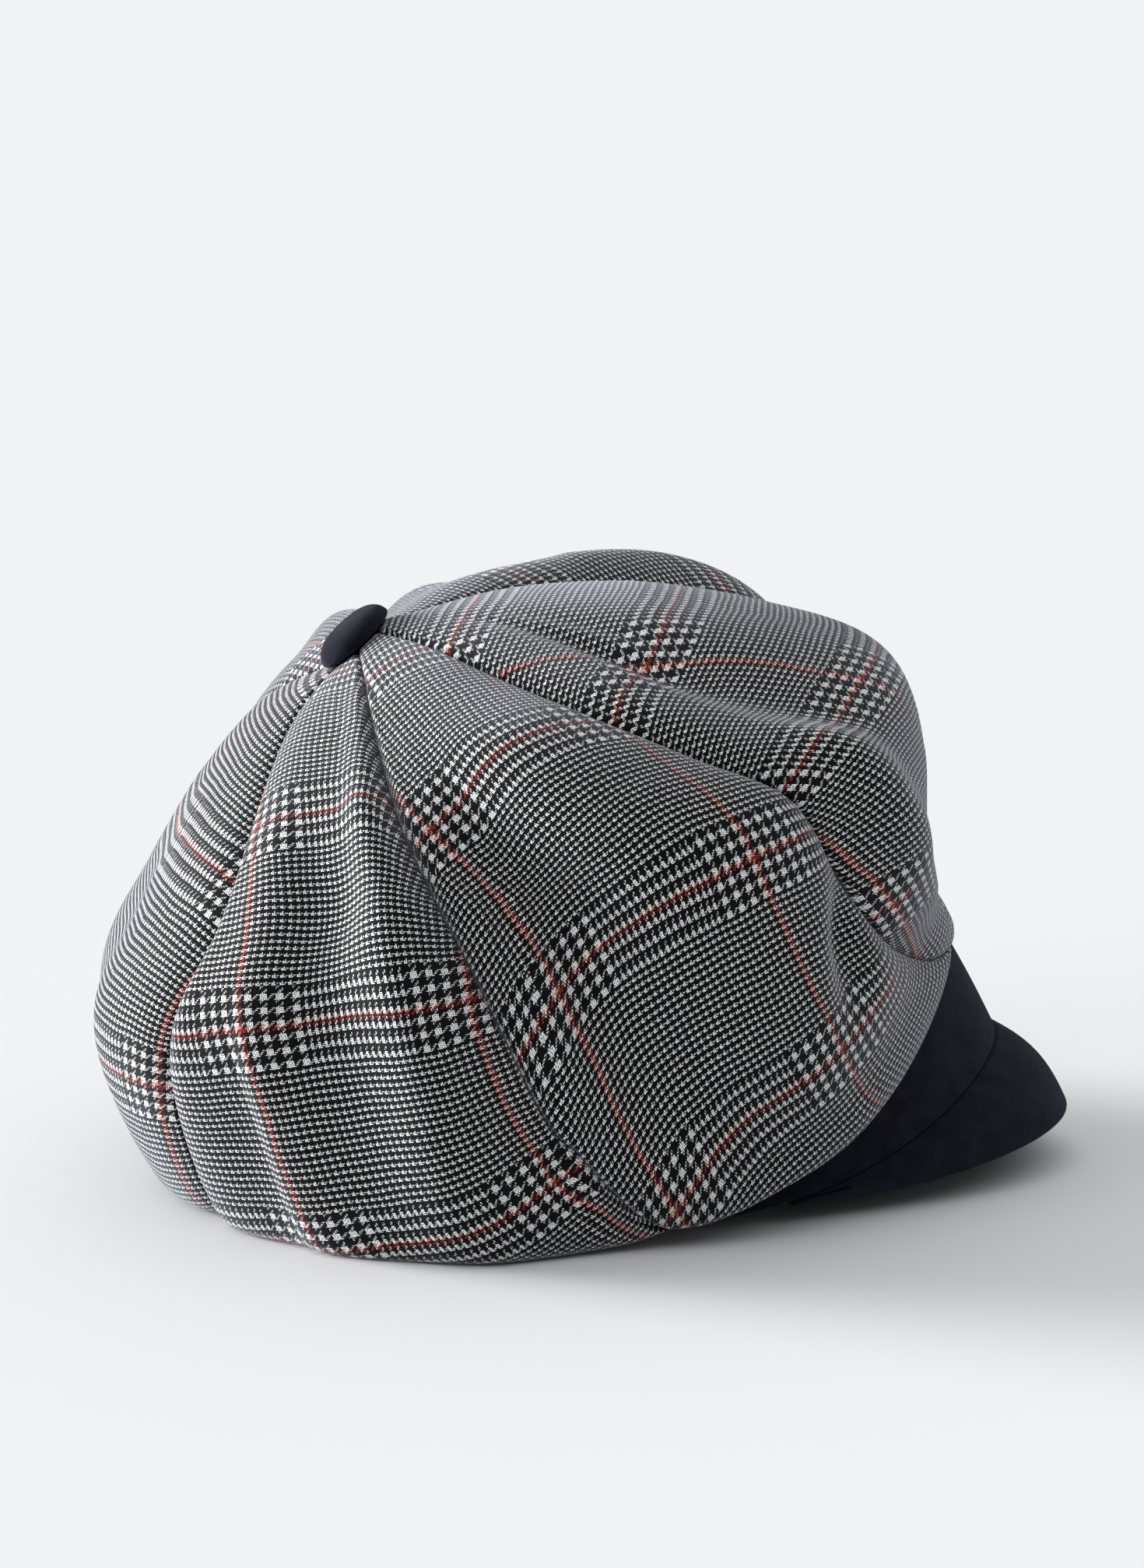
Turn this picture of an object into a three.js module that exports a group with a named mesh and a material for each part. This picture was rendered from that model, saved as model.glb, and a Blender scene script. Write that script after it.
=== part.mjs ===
// Soft six-panel cap of checked wool, resting by itself on a flat surface.
// Millimetres, +X towards the peak, +Z up, origin under the middle of its footprint.
import * as THREE from 'three';

// Crown: how far it reaches as it lies, and its cloth.
const CROWN_LENGTH = 258;
const CROWN_WIDTH = 240;
const CROWN_HEIGHT = 170;
const CLOTH_THICKNESS = 2;
const PUFF = 7;
const SEAM_DEPTH = 1.6;
const FOLD_DEPTH = 10;

// Head opening: an oval for a head of 58 cm round, ahead of the crown's middle.
const HEAD_LENGTH = 194;
const HEAD_WIDTH = 168;
const HEAD_FORWARD = 47;
const FRONT_RISE = 40;

// Felt band between crown and peak.
const BAND_HEIGHT = 31;
const BAND_THICKNESS = 3;
const BAND_FRONT_LEAN = 28;
const BAND_REAR_LEAN = 8;

// Felt peak, steep and short.
const PEAK_REACH = 23;
const PEAK_TIP_HEIGHT = 15;
const PEAK_THICKNESS = 3.5;
const PEAK_BULGE = 2.5;
const PEAK_HALF_ANGLE = 74;
const PEAK_EDGE_WIDTH = 150;

// Covered button where the panels meet. How far back and how high it sits are shares of the
// crown's length and height.
const BUTTON_DIAMETER = 25;
const BUTTON_HEIGHT = 7;
const BUTTON_LEAN = 42;
const BUTTON_SEAT = 0.8;
const BUTTON_BACK = 0.178;
const BUTTON_RISE = 0.929;

// Clearances between the pieces.
const SEAM_GAP = 0.3;
const HEM_GAP = 0.4;
const PEAK_GAP = 0.35;
const BUTTON_GAP = 0.7;

// How cloth and felt that reach the surface are pressed flat on it.
const REST_SOFTNESS = 5;
const REST_SINK = 0.5;

// Facets of the faceted pieces.
const PANEL_ACROSS = 10;
const PANEL_ALONG = 28;
const HEM_CROWDING = 1.3;
const BAND_ROUND = 64;
const BAND_ALONG = 3;
const PEAK_ROUND = 28;
const PEAK_ALONG = 5;
const BUTTON_SIDES = 28;
const BUTTON_STEPS = 6;

const CLOTH = { color: 0x7a7775, roughness: 0.9, metalness: 0 };
const FELT = { color: 0x1b1d27, roughness: 0.95, metalness: 0 };

// Rings of the crown between the button and the hem.
// way: share of the way from button to hem. frontX, rearX: shares of the crown's length from
// its middle. frontZ, rearZ: shares of its height. half: half width, a share of its width.
// bend: how late the ring rises towards the front. roll: rise for each mm towards the far side.
// square: 2 for an oval, more for a fuller outline.
const CROWN_RINGS = [
  { way: 0.12, frontX: -0.008, frontZ: 0.985, rearX: -0.287, rearZ: 0.79,
    half: 0.217, bend: 1, roll: 0.1, square: 2.1 },
  { way: 0.25, frontX: 0.15, frontZ: 0.971, rearX: -0.358, rearZ: 0.632,
    half: 0.35, bend: 0.95, roll: 0.09, square: 2.3 },
  { way: 0.38, frontX: 0.303, frontZ: 0.928, rearX: -0.42, rearZ: 0.475,
    half: 0.425, bend: 0.95, roll: 0.07, square: 2.4 },
  { way: 0.5, frontX: 0.42, frontZ: 0.865, rearX: -0.468, rearZ: 0.33,
    half: 0.463, bend: 1, roll: 0.04, square: 2.5 },
  { way: 0.62, frontX: 0.455, frontZ: 0.735, rearX: -0.449, rearZ: 0.18,
    half: 0.479, bend: 1.3, roll: 0.02, square: 2.5 },
  { way: 0.74, frontX: 0.452, frontZ: 0.59, rearX: -0.382, rearZ: 0.008,
    half: 0.478, bend: 1.9, roll: 0, square: 2.65 },
  { way: 0.86, frontX: 0.468, frontZ: 0.48, rearX: -0.316, rearZ: -0.022,
    half: 0.446, bend: 3.4, roll: 0, square: 2.5 },
  { way: 0.92, frontX: 0.493, frontZ: 0.438, rearX: -0.28, rearZ: 0.02,
    half: 0.4195, bend: 5.1, roll: 0, square: 2.35 },
  { way: 0.965, frontX: 0.505, frontZ: 0.416, rearX: -0.24, rearZ: 0.1,
    half: 0.387, bend: 5.4, roll: 0, square: 2.14 },
];

// Angle of each seam round the crown, in degrees from the front, at four stages of its way from
// button to hem. The first is the near rear one, and they go round by the near side, the front
// and the far side. Each panel starts at the seam of its own number.
const SEAM_STAGES = { top: 0, upper: 0.3, lower: 0.6, hem: 1 };
const SEAMS = [
  { top: -158, upper: -141, lower: -148, hem: -164 },
  { top: -100, upper: -98, lower: -93, hem: -82 },
  { top: -46, upper: -53, lower: -48, hem: -8 },
  { top: 30, upper: 32, lower: 36, hem: 36 },
  { top: 90, upper: 88, lower: 90, hem: 92 },
  { top: 150, upper: 148, lower: 148, hem: 148 },
];

// Folds and dents of the panels, each a long soft ridge or hollow.
// across, along: its middle, as shares of the panel. reach: half its length, near and far: its
// two half widths, all shares of the panel's length. turn: degrees from the panel's own length.
// depth: share of FOLD_DEPTH, outwards where positive.
const FOLDS = [
  { panel: 0, across: 0.84, along: 0.5, reach: 0.3, near: 0.07, far: 0.05, turn: -3, depth: 0.6 },
  { panel: 0, across: 0.55, along: 0.34, reach: 0.2, near: 0.07, far: 0.06, turn: 4, depth: -0.35 },
  { panel: 0, across: 0.3, along: 0.72, reach: 0.16, near: 0.08, far: 0.08, turn: 10, depth: -0.35 },
  { panel: 1, across: 0.2, along: 0.6, reach: 0.26, near: 0.06, far: 0.1, turn: 3, depth: -0.7 },
  { panel: 1, across: 0.3, along: 0.84, reach: 0.1, near: 0.05, far: 0.07, turn: -20, depth: -0.4 },
  { panel: 1, across: 0.5, along: 0.4, reach: 0.2, near: 0.14, far: 0.14, turn: 0, depth: 0.3 },
  { panel: 2, across: 0.16, along: 0.52, reach: 0.2, near: 0.06, far: 0.05, turn: 6, depth: 0.7 },
  { panel: 2, across: 0.34, along: 0.5, reach: 0.2, near: 0.06, far: 0.1, turn: 8, depth: -0.9 },
  { panel: 3, across: 0.25, along: 0.44, reach: 0.2, near: 0.12, far: 0.12, turn: 0, depth: 1.3 },
  { panel: 3, across: 0.5, along: 0.22, reach: 0.12, near: 0.14, far: 0.12, turn: 0, depth: -0.3 },
  { panel: 3, across: 0.85, along: 0.19, reach: 0.09, near: 0.08, far: 0.12, turn: 0, depth: 0.7 },
  { panel: 3, across: 0.55, along: 0.68, reach: 0.2, near: 0.07, far: 0.1, turn: 12, depth: -0.6 },
  { panel: 4, across: 0.2, along: 0.19, reach: 0.1, near: 0.12, far: 0.12, turn: 0, depth: 1.1 },
  { panel: 4, across: 0.5, along: 0.6, reach: 0.22, near: 0.08, far: 0.08, turn: -10, depth: -0.5 },
  { panel: 5, across: 0.45, along: 0.45, reach: 0.2, near: 0.09, far: 0.07, turn: 8, depth: -0.4 },
];

const DEGREE = Math.PI / 180;
const FULL_TURN = 360;

// Smooth curve through a short list of stations, with the same slope on both sides of each.
function smoothCurve(stations, values, at) {
  const last = stations.length - 1;
  const slopeBetween = (i) => (values[i + 1] - values[i]) / (stations[i + 1] - stations[i]);
  const slopeAt = (i) => {
    if (i === 0) return slopeBetween(0);
    if (i === last) return slopeBetween(last - 1);
    const before = stations[i] - stations[i - 1];
    const after = stations[i + 1] - stations[i];
    return (slopeBetween(i) * before + slopeBetween(i - 1) * after) / (before + after);
  };
  let i = 0;
  while (i < last - 1 && at > stations[i + 1]) i += 1;
  const step = stations[i + 1] - stations[i];
  const s = (at - stations[i]) / step;
  const fromStart = (1 + 2 * s) * (1 - s) ** 2 * values[i];
  const startSlope = s * (1 - s) ** 2 * step * slopeAt(i);
  const fromEnd = s * s * (3 - 2 * s) * values[i + 1];
  const endSlope = s * s * (s - 1) * step * slopeAt(i + 1);
  return fromStart + startSlope + fromEnd + endSlope;
}

// A ring as lengths: where its front and rear stand, its half width and how it bends.
function ringFromShares(row) {
  return {
    ...row,
    frontX: row.frontX * CROWN_LENGTH,
    frontZ: row.frontZ * CROWN_HEIGHT,
    rearX: row.rearX * CROWN_LENGTH,
    rearZ: row.rearZ * CROWN_HEIGHT,
    half: row.half * CROWN_WIDTH,
  };
}

// Lower edge of the band: flat on the surface at the rear, lifted at the front by the peak.
const BAND_BEND = 3.6;
const BAND_UPPER_BEND = 5;
const bandLower = {
  frontX: HEAD_FORWARD + HEAD_LENGTH / 2,
  frontZ: FRONT_RISE,
  rearX: HEAD_FORWARD - HEAD_LENGTH / 2,
  rearZ: -REST_SINK,
  half: HEAD_WIDTH / 2,
  bend: BAND_BEND,
  roll: 0,
  square: 2,
};

const bandUpper = {
  ...bandLower,
  frontX: bandLower.frontX - BAND_HEIGHT * Math.sin(BAND_FRONT_LEAN * DEGREE),
  frontZ: bandLower.frontZ + BAND_HEIGHT * Math.cos(BAND_FRONT_LEAN * DEGREE),
  rearX: bandLower.rearX - BAND_HEIGHT * Math.sin(BAND_REAR_LEAN * DEGREE),
  rearZ: bandLower.rearZ + BAND_HEIGHT * Math.cos(BAND_REAR_LEAN * DEGREE),
  bend: BAND_UPPER_BEND,
};

// The crown's first ring lies under the button and its last one on the band's upper edge.
const buttonAxis = new THREE.Vector3(-Math.sin(BUTTON_LEAN * DEGREE), 0, Math.cos(BUTTON_LEAN * DEGREE));
const buttonFoot = new THREE.Vector3(-BUTTON_BACK * CROWN_LENGTH, 0, BUTTON_RISE * CROWN_HEIGHT);
const topRadius = BUTTON_SEAT * BUTTON_DIAMETER / 2;
const topRing = {
  way: 0,
  frontX: buttonFoot.x + topRadius * buttonAxis.z,
  frontZ: buttonFoot.z - topRadius * buttonAxis.x,
  rearX: buttonFoot.x - topRadius * buttonAxis.z,
  rearZ: buttonFoot.z + topRadius * buttonAxis.x,
  half: topRadius,
  bend: 1,
  roll: 0,
  square: 2,
};
const hemRing = {
  ...bandUpper,
  way: 1,
  frontX: bandUpper.frontX + HEM_GAP,
  frontZ: bandUpper.frontZ + HEM_GAP,
  rearX: bandUpper.rearX - HEM_GAP,
  rearZ: bandUpper.rearZ + HEM_GAP,
  half: bandUpper.half + HEM_GAP,
};
const crownRings = [topRing, ...CROWN_RINGS.map(ringFromShares), hemRing];
const crownWays = crownRings.map((ring) => ring.way);

// The ring at any share of the way from button to hem.
function crownRingAt(way) {
  const ring = {};
  for (const key of ['frontX', 'frontZ', 'rearX', 'rearZ', 'half', 'bend', 'roll', 'square']) {
    ring[key] = smoothCurve(crownWays, crownRings.map((row) => row[key]), way);
  }
  return ring;
}

// A point of a ring at an angle from the front.
function ringPoint(ring, angle) {
  const power = 2 / ring.square;
  const forward = Math.sign(Math.cos(angle)) * Math.abs(Math.cos(angle)) ** power;
  const sideways = Math.sign(Math.sin(angle)) * Math.abs(Math.sin(angle)) ** power;
  const middleX = (ring.frontX + ring.rearX) / 2;
  const halfLength = (ring.frontX - ring.rearX) / 2;
  const share = (1 + forward) / 2;
  const y = ring.half * sideways;
  const rise = (ring.frontZ - ring.rearZ) * share ** ring.bend;
  return new THREE.Vector3(middleX + halfLength * forward, y, ring.rearZ + rise + ring.roll * y);
}

// What would go below the surface is pressed flat on it, with a soft bend beside the flat.
function restedHeight(z) {
  if (z >= REST_SOFTNESS) return z;
  if (z <= -REST_SOFTNESS) return 0;
  return (z + REST_SOFTNESS) ** 2 / (4 * REST_SOFTNESS);
}

function rested(point) {
  return new THREE.Vector3(point.x, point.y, restedHeight(point.z));
}

// A finite step along and round the crown, for its normals.
const STEP_ALONG = 0.001;
const STEP_ROUND = 0.005;

function crownNormal(angle, way) {
  const up = Math.max(0, way - STEP_ALONG);
  const down = Math.min(1, way + STEP_ALONG);
  const along = ringPoint(crownRingAt(down), angle).sub(ringPoint(crownRingAt(up), angle));
  const ring = crownRingAt(way);
  const round = ringPoint(ring, angle + STEP_ROUND).sub(ringPoint(ring, angle - STEP_ROUND));
  return along.cross(round).normalize();
}

const stageNames = Object.keys(SEAM_STAGES);
const stageWays = Object.values(SEAM_STAGES);

function seamAngle(seam, way) {
  const turns = Math.floor(seam / SEAMS.length);
  const row = SEAMS[seam % SEAMS.length];
  const angles = stageNames.map((stage) => row[stage]);
  return (smoothCurve(stageWays, angles, way) + turns * FULL_TURN) * DEGREE;
}

// How far the cloth stands out from the plain ring surface: puffed between its seams, drawn in
// at them, with the folds and dents of its panel.
// PUFF_START and PUFF_END are the shares of the way over which this comes in below the button
// and goes out above the hem. SEAM_WIDTH is a share of half a panel, and PANEL_WIDTH_SHARE a
// panel's width over its length. The fullnesses say how flat the middle is before it falls away.
const PUFF_START = 0.25;
const PUFF_END = 0.2;
const PUFF_FULLNESS = 2.4;
const SEAM_WIDTH = 0.1;
const PANEL_WIDTH_SHARE = 0.5;
const FOLD_FULLNESS = 6;

function lift(panel, across, way) {
  const fade = Math.min(1, way / PUFF_START) * Math.min(1, (1 - way) / PUFF_END);
  const fromMiddle = Math.abs(2 * across - 1);
  let height = PUFF * fade * (1 - fromMiddle ** PUFF_FULLNESS);
  height -= SEAM_DEPTH * fade * Math.exp(-(((1 - fromMiddle) / SEAM_WIDTH) ** 2));
  const foldFade = fade * FOLD_DEPTH * (1 - fromMiddle ** FOLD_FULLNESS);
  for (const fold of FOLDS) {
    if (fold.panel !== panel) continue;
    const sideways = (across - fold.across) * PANEL_WIDTH_SHARE;
    const lengthways = way - fold.along;
    const cos = Math.cos(fold.turn * DEGREE);
    const sin = Math.sin(fold.turn * DEGREE);
    const along = lengthways * cos + sideways * sin;
    const beside = sideways * cos - lengthways * sin;
    const width = beside < 0 ? fold.near : fold.far;
    height += foldFade * fold.depth * Math.exp(-((along / fold.reach) ** 2) - (beside / width) ** 2);
  }
  return height;
}

// A point of a panel's outer face, before and after it rests.
function panelPoint(panel, across, way) {
  const start = seamAngle(panel, way);
  const end = seamAngle(panel + 1, way);
  const angle = start + (end - start) * across;
  const point = ringPoint(crownRingAt(way), angle);
  return point.addScaledVector(crownNormal(angle, way), lift(panel, across, way));
}

// Closed wall between a grid of outer points and a grid of inner ones.
// Rows run along, columns across. Outer faces point to the left of a row's direction.
function wallGeometry(outer, inner, roundClosed) {
  const rows = outer.length;
  const columns = outer[0].length;
  const positions = [...outer.flat(), ...inner.flat()].flatMap((p) => [p.x, p.y, p.z]);
  const indices = [];
  const place = (side, i, j) => side * rows * columns + i * columns + (j % columns);
  const quad = (a, b, c, d) => indices.push(a, b, c, a, c, d);
  const columnSteps = roundClosed ? columns : columns - 1;
  const end = rows - 1;
  for (let i = 0; i < end; i += 1) {
    for (let j = 0; j < columnSteps; j += 1) {
      quad(place(0, i, j), place(0, i + 1, j), place(0, i + 1, j + 1), place(0, i, j + 1));
      quad(place(1, i, j), place(1, i, j + 1), place(1, i + 1, j + 1), place(1, i + 1, j));
    }
  }
  for (let j = 0; j < columnSteps; j += 1) {
    quad(place(0, 0, j), place(0, 0, j + 1), place(1, 0, j + 1), place(1, 0, j));
    quad(place(0, end, j), place(1, end, j), place(1, end, j + 1), place(0, end, j + 1));
  }
  if (!roundClosed) {
    const side = columns - 1;
    for (let i = 0; i < end; i += 1) {
      quad(place(0, i, 0), place(1, i, 0), place(1, i + 1, 0), place(0, i + 1, 0));
      quad(place(0, i, side), place(0, i + 1, side), place(1, i + 1, side), place(1, i, side));
    }
  }
  const geometry = new THREE.BufferGeometry();
  geometry.setAttribute('position', new THREE.Float32BufferAttribute(positions, 3));
  geometry.setIndex(indices);
  return geometry;
}

function piece(name, geometry, look) {
  geometry.computeVertexNormals();
  const mesh = new THREE.Mesh(geometry, new THREE.MeshStandardMaterial(look));
  mesh.name = name;
  return mesh;
}

// Normal of a grid of points at one of its places, from its neighbours there.
function gridNormal(grid, i, j, roundClosed) {
  const rows = grid.length;
  const columns = grid[0].length;
  const left = roundClosed ? (j + columns - 1) % columns : Math.max(0, j - 1);
  const right = roundClosed ? (j + 1) % columns : Math.min(columns - 1, j + 1);
  const along = grid[Math.min(rows - 1, i + 1)][j].clone().sub(grid[Math.max(0, i - 1)][j]);
  const round = grid[i][right].clone().sub(grid[i][left]);
  return along.cross(round).normalize();
}

// Shares from 0 to 1 in equal steps.
function shares(steps) {
  return Array.from({ length: steps + 1 }, (_, i) => i / steps);
}

// Outer faces of all panels, each a little short of its seams, and a little more where the cloth
// turns up to the hem.
const TURN_FROM = 0.62;
const TURN_OPENING = 5;
const panelWays = shares(PANEL_ALONG).map((share) => 1 - (1 - share) ** HEM_CROWDING);
const panelGrids = SEAMS.map((seam, panel) => panelWays.map((way) => {
  const width = panelPoint(panel, 0, way).distanceTo(panelPoint(panel, 1, way));
  const opening = 1 + TURN_OPENING * Math.max(0, (way - TURN_FROM) / (1 - TURN_FROM));
  const margin = opening * SEAM_GAP / 2 / width;
  const places = shares(PANEL_ACROSS).map((share) => margin + share * (1 - 2 * margin));
  return places.map((across) => rested(panelPoint(panel, across, way)));
}));
const panelNormals = panelGrids.map((grid) => {
  return grid.map((row, i) => row.map((_, j) => gridNormal(grid, i, j, false)));
});

// The cloth's thickness at a place. At a seam it runs the same way on both panels, and near the
// hem it runs level, so that it stays clear of the band.
const LEVEL_FROM = 0.93;

function clothNormal(panel, i, j) {
  const normal = panelNormals[panel][i][j].clone();
  const count = SEAMS.length;
  if (j === 0) normal.add(panelNormals[(panel + count - 1) % count][i][PANEL_ACROSS]);
  if (j === PANEL_ACROSS) normal.add(panelNormals[(panel + 1) % count][i][0]);
  normal.z *= 1 - Math.max(0, (panelWays[i] - LEVEL_FROM) / (1 - LEVEL_FROM));
  return normal.normalize();
}

function crownPanel(panel) {
  const outer = panelGrids[panel];
  const inner = outer.map((row, i) => row.map((point, j) => {
    return point.clone().addScaledVector(clothNormal(panel, i, j), -CLOTH_THICKNESS);
  }));
  return piece(`crown_panel_${panel + 1}`, wallGeometry(outer, inner, false), CLOTH);
}

// A ring part of the way from one ring to another.
function betweenRings(from, to, share) {
  const ring = {};
  for (const key of Object.keys(bandLower)) {
    ring[key] = from[key] + (to[key] - from[key]) * share;
  }
  return ring;
}

function headBand() {
  const angles = shares(BAND_ROUND).slice(0, BAND_ROUND).map((share) => share * FULL_TURN * DEGREE);
  const heights = shares(BAND_ALONG).map((share) => 1 - share);
  const outer = heights.map((height) => {
    const ring = betweenRings(bandLower, bandUpper, height);
    return angles.map((angle) => ringPoint(ring, angle));
  });
  const inner = outer.map((row, i) => row.map((point, j) => {
    const normal = gridNormal(outer, i, j, true);
    normal.z = 0;
    return point.clone().addScaledVector(normal.normalize(), -BAND_THICKNESS);
  }));
  const lay = (grid) => grid.map((row) => row.map((p) => new THREE.Vector3(p.x, p.y, Math.max(0, p.z))));
  return piece('head_band', wallGeometry(lay(outer), lay(inner), true), FELT);
}

// The peak runs from the band's lower edge to its own edge, which comes down to the surface at
// both sides. It bulges a little on the way.
const PEAK_EDGE_BEND = 2.2;
const PEAK_TAPER = 8;
const PEAK_END_SHARE = 0.25;
const peakRoot = {
  ...bandLower,
  frontX: bandLower.frontX + PEAK_GAP,
  frontZ: bandLower.frontZ - PEAK_GAP,
  rearX: bandLower.rearX - PEAK_GAP,
  rearZ: bandLower.rearZ - PEAK_GAP,
  half: bandLower.half + PEAK_GAP,
};
const peakEdge = {
  ...bandLower,
  frontX: bandLower.frontX + PEAK_REACH,
  frontZ: PEAK_TIP_HEIGHT,
  rearZ: -PEAK_THICKNESS,
  half: PEAK_EDGE_WIDTH / 2,
  bend: PEAK_EDGE_BEND,
};

function peakPoint(round, share) {
  const angle = round * PEAK_HALF_ANGLE * DEGREE;
  const length = 1 - (1 - PEAK_END_SHARE) * Math.abs(round) ** PEAK_TAPER;
  const root = ringPoint(peakRoot, angle);
  const edge = ringPoint(peakEdge, angle);
  const point = root.clone().lerp(edge, share * length);
  const bulge = PEAK_BULGE * Math.sin(Math.PI * share) * length;
  point.x += bulge * Math.cos(angle);
  point.y += bulge * Math.sin(angle);
  point.z += bulge * Math.cos(angle);
  return point;
}

function peak() {
  const rounds = shares(PEAK_ROUND).map((share) => 2 * share - 1);
  const steps = shares(PEAK_ALONG);
  const outer = steps.map((share) => rounds.map((round) => peakPoint(round, share)));
  const inner = outer.map((row, i) => row.map((point, j) => {
    const normal = gridNormal(outer, i, j, false);
    normal.z = Math.max(0, normal.z);
    return point.clone().addScaledVector(normal.normalize(), -PEAK_THICKNESS);
  }));
  const lay = (grid) => grid.map((row) => row.map((p) => new THREE.Vector3(p.x, p.y, Math.max(0, p.z))));
  return piece('peak', wallGeometry(lay(outer), lay(inner), false), FELT);
}

// A low dome with a flat foot, turned about the button's axis.
function button() {
  const radius = BUTTON_DIAMETER / 2;
  const profile = [new THREE.Vector2(0, 0)];
  for (const share of shares(BUTTON_STEPS).slice(0, BUTTON_STEPS)) {
    const angle = share * Math.PI / 2;
    profile.push(new THREE.Vector2(radius * Math.cos(angle), BUTTON_HEIGHT * Math.sin(angle)));
  }
  profile.push(new THREE.Vector2(0, BUTTON_HEIGHT));
  const mesh = piece('button', new THREE.LatheGeometry(profile, BUTTON_SIDES), FELT);
  mesh.quaternion.setFromUnitVectors(new THREE.Vector3(0, 1, 0), buttonAxis);
  mesh.position.copy(buttonFoot).addScaledVector(buttonAxis, BUTTON_GAP);
  return mesh;
}

const cap = new THREE.Group();
for (let panel = 0; panel < SEAMS.length; panel += 1) cap.add(crownPanel(panel));
cap.add(button(), headBand(), peak());

// The origin goes under the middle of the footprint.
cap.updateMatrixWorld(true);
const middle = new THREE.Box3().setFromObject(cap, true).getCenter(new THREE.Vector3());
cap.position.set(-middle.x, -middle.y, 0);

export default cap;
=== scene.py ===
import math

import bpy
import numpy as np
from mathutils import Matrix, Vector


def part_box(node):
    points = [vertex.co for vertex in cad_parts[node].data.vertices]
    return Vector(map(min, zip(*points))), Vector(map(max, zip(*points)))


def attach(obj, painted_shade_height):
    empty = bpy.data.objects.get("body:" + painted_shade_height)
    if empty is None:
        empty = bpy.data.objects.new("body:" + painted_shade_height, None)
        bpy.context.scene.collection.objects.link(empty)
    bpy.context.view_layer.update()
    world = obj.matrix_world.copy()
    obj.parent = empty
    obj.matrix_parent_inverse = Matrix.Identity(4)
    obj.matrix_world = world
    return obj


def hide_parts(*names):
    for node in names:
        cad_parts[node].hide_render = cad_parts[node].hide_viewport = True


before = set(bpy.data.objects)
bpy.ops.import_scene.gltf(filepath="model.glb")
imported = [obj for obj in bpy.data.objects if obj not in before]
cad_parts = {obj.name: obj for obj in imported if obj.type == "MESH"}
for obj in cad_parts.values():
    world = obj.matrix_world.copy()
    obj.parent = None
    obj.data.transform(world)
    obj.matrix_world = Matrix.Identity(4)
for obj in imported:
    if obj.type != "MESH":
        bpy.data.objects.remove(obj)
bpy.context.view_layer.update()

MM = 0.001
TINY = 1e-9
VERY_TINY = 1e-12

# Sizes that the solids have too: lengths in millimetres, angles in degrees, and a few shares and
# bends. A bend says how late an edge rises to the front.
CROWN_LENGTH = 258.0
CROWN_WIDTH = 240.0
CROWN_HEIGHT = 170.0
PUFF = 7.0
SEAM_DEPTH = 1.6
FOLD_DEPTH = 10.0
HEAD_LENGTH = 194.0
HEAD_WIDTH = 168.0
HEAD_FORWARD = 47.0
FRONT_RISE = 40.0
BAND_HEIGHT = 31.0
BAND_THICKNESS = 3.0
BAND_FRONT_LEAN = 28.0
BAND_REAR_LEAN = 8.0
PEAK_REACH = 23.0
PEAK_TIP_HEIGHT = 15.0
PEAK_THICKNESS = 3.5
PEAK_BULGE = 2.5
PEAK_HALF_ANGLE = 74.0
PEAK_EDGE_WIDTH = 150.0
BUTTON_DIAMETER = 25.0
BUTTON_HEIGHT = 7.0
BUTTON_LEAN = 42.0
BUTTON_SEAT = 0.8
BUTTON_BACK = 0.178
BUTTON_RISE = 0.929
HEM_GAP = 0.4
PEAK_GAP = 0.35
BUTTON_GAP = 0.7
REST_SOFTNESS = 5.0
REST_SINK = 0.5
BAND_BEND = 3.6
BAND_UPPER_BEND = 5.0
PEAK_EDGE_BEND = 2.2
PEAK_TAPER = 8.0
PEAK_END_SHARE = 0.25


def table(columns, rows):
    """A table with named columns: a dictionary of arrays, one for each column."""
    values = np.array(rows, float).T
    return dict(zip(columns.split(), values))


# Rings of the crown between the button and the hem.
# way: share of the way. front_x, rear_x: shares of the crown's length, front_z, rear_z: of its
# height, half: half width as a share of its width. bend: how late the ring rises to the front.
# roll: rise for each mm towards the far side. square: 2 for an oval, more for a fuller outline.
CROWN_RINGS = table("way front_x front_z rear_x rear_z half bend roll square", [
    (0.12, -0.008, 0.985, -0.287, 0.79, 0.217, 1.0, 0.1, 2.1),
    (0.25, 0.15, 0.971, -0.358, 0.632, 0.35, 0.95, 0.09, 2.3),
    (0.38, 0.303, 0.928, -0.42, 0.475, 0.425, 0.95, 0.07, 2.4),
    (0.5, 0.42, 0.865, -0.468, 0.33, 0.463, 1.0, 0.04, 2.5),
    (0.62, 0.455, 0.735, -0.449, 0.18, 0.479, 1.3, 0.02, 2.5),
    (0.74, 0.452, 0.59, -0.382, 0.008, 0.478, 1.9, 0, 2.65),
    (0.86, 0.468, 0.48, -0.316, -0.022, 0.446, 3.4, 0, 2.5),
    (0.92, 0.493, 0.438, -0.28, 0.02, 0.4195, 5.1, 0, 2.35),
    (0.965, 0.505, 0.416, -0.24, 0.1, 0.387, 5.4, 0, 2.14),
])

# Angle of each seam round the crown, in degrees from the front, at four stages of its way down
SEAM_STAGES = np.array([0, 0.3, 0.6, 1])
SEAMS = np.array([
    (-158, -141, -148, -164),
    (-100, -98, -93, -82),
    (-46, -53, -48, -8),
    (30, 32, 36, 36),
    (90, 88, 90, 92),
    (150, 148, 148, 148),
], float)

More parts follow.
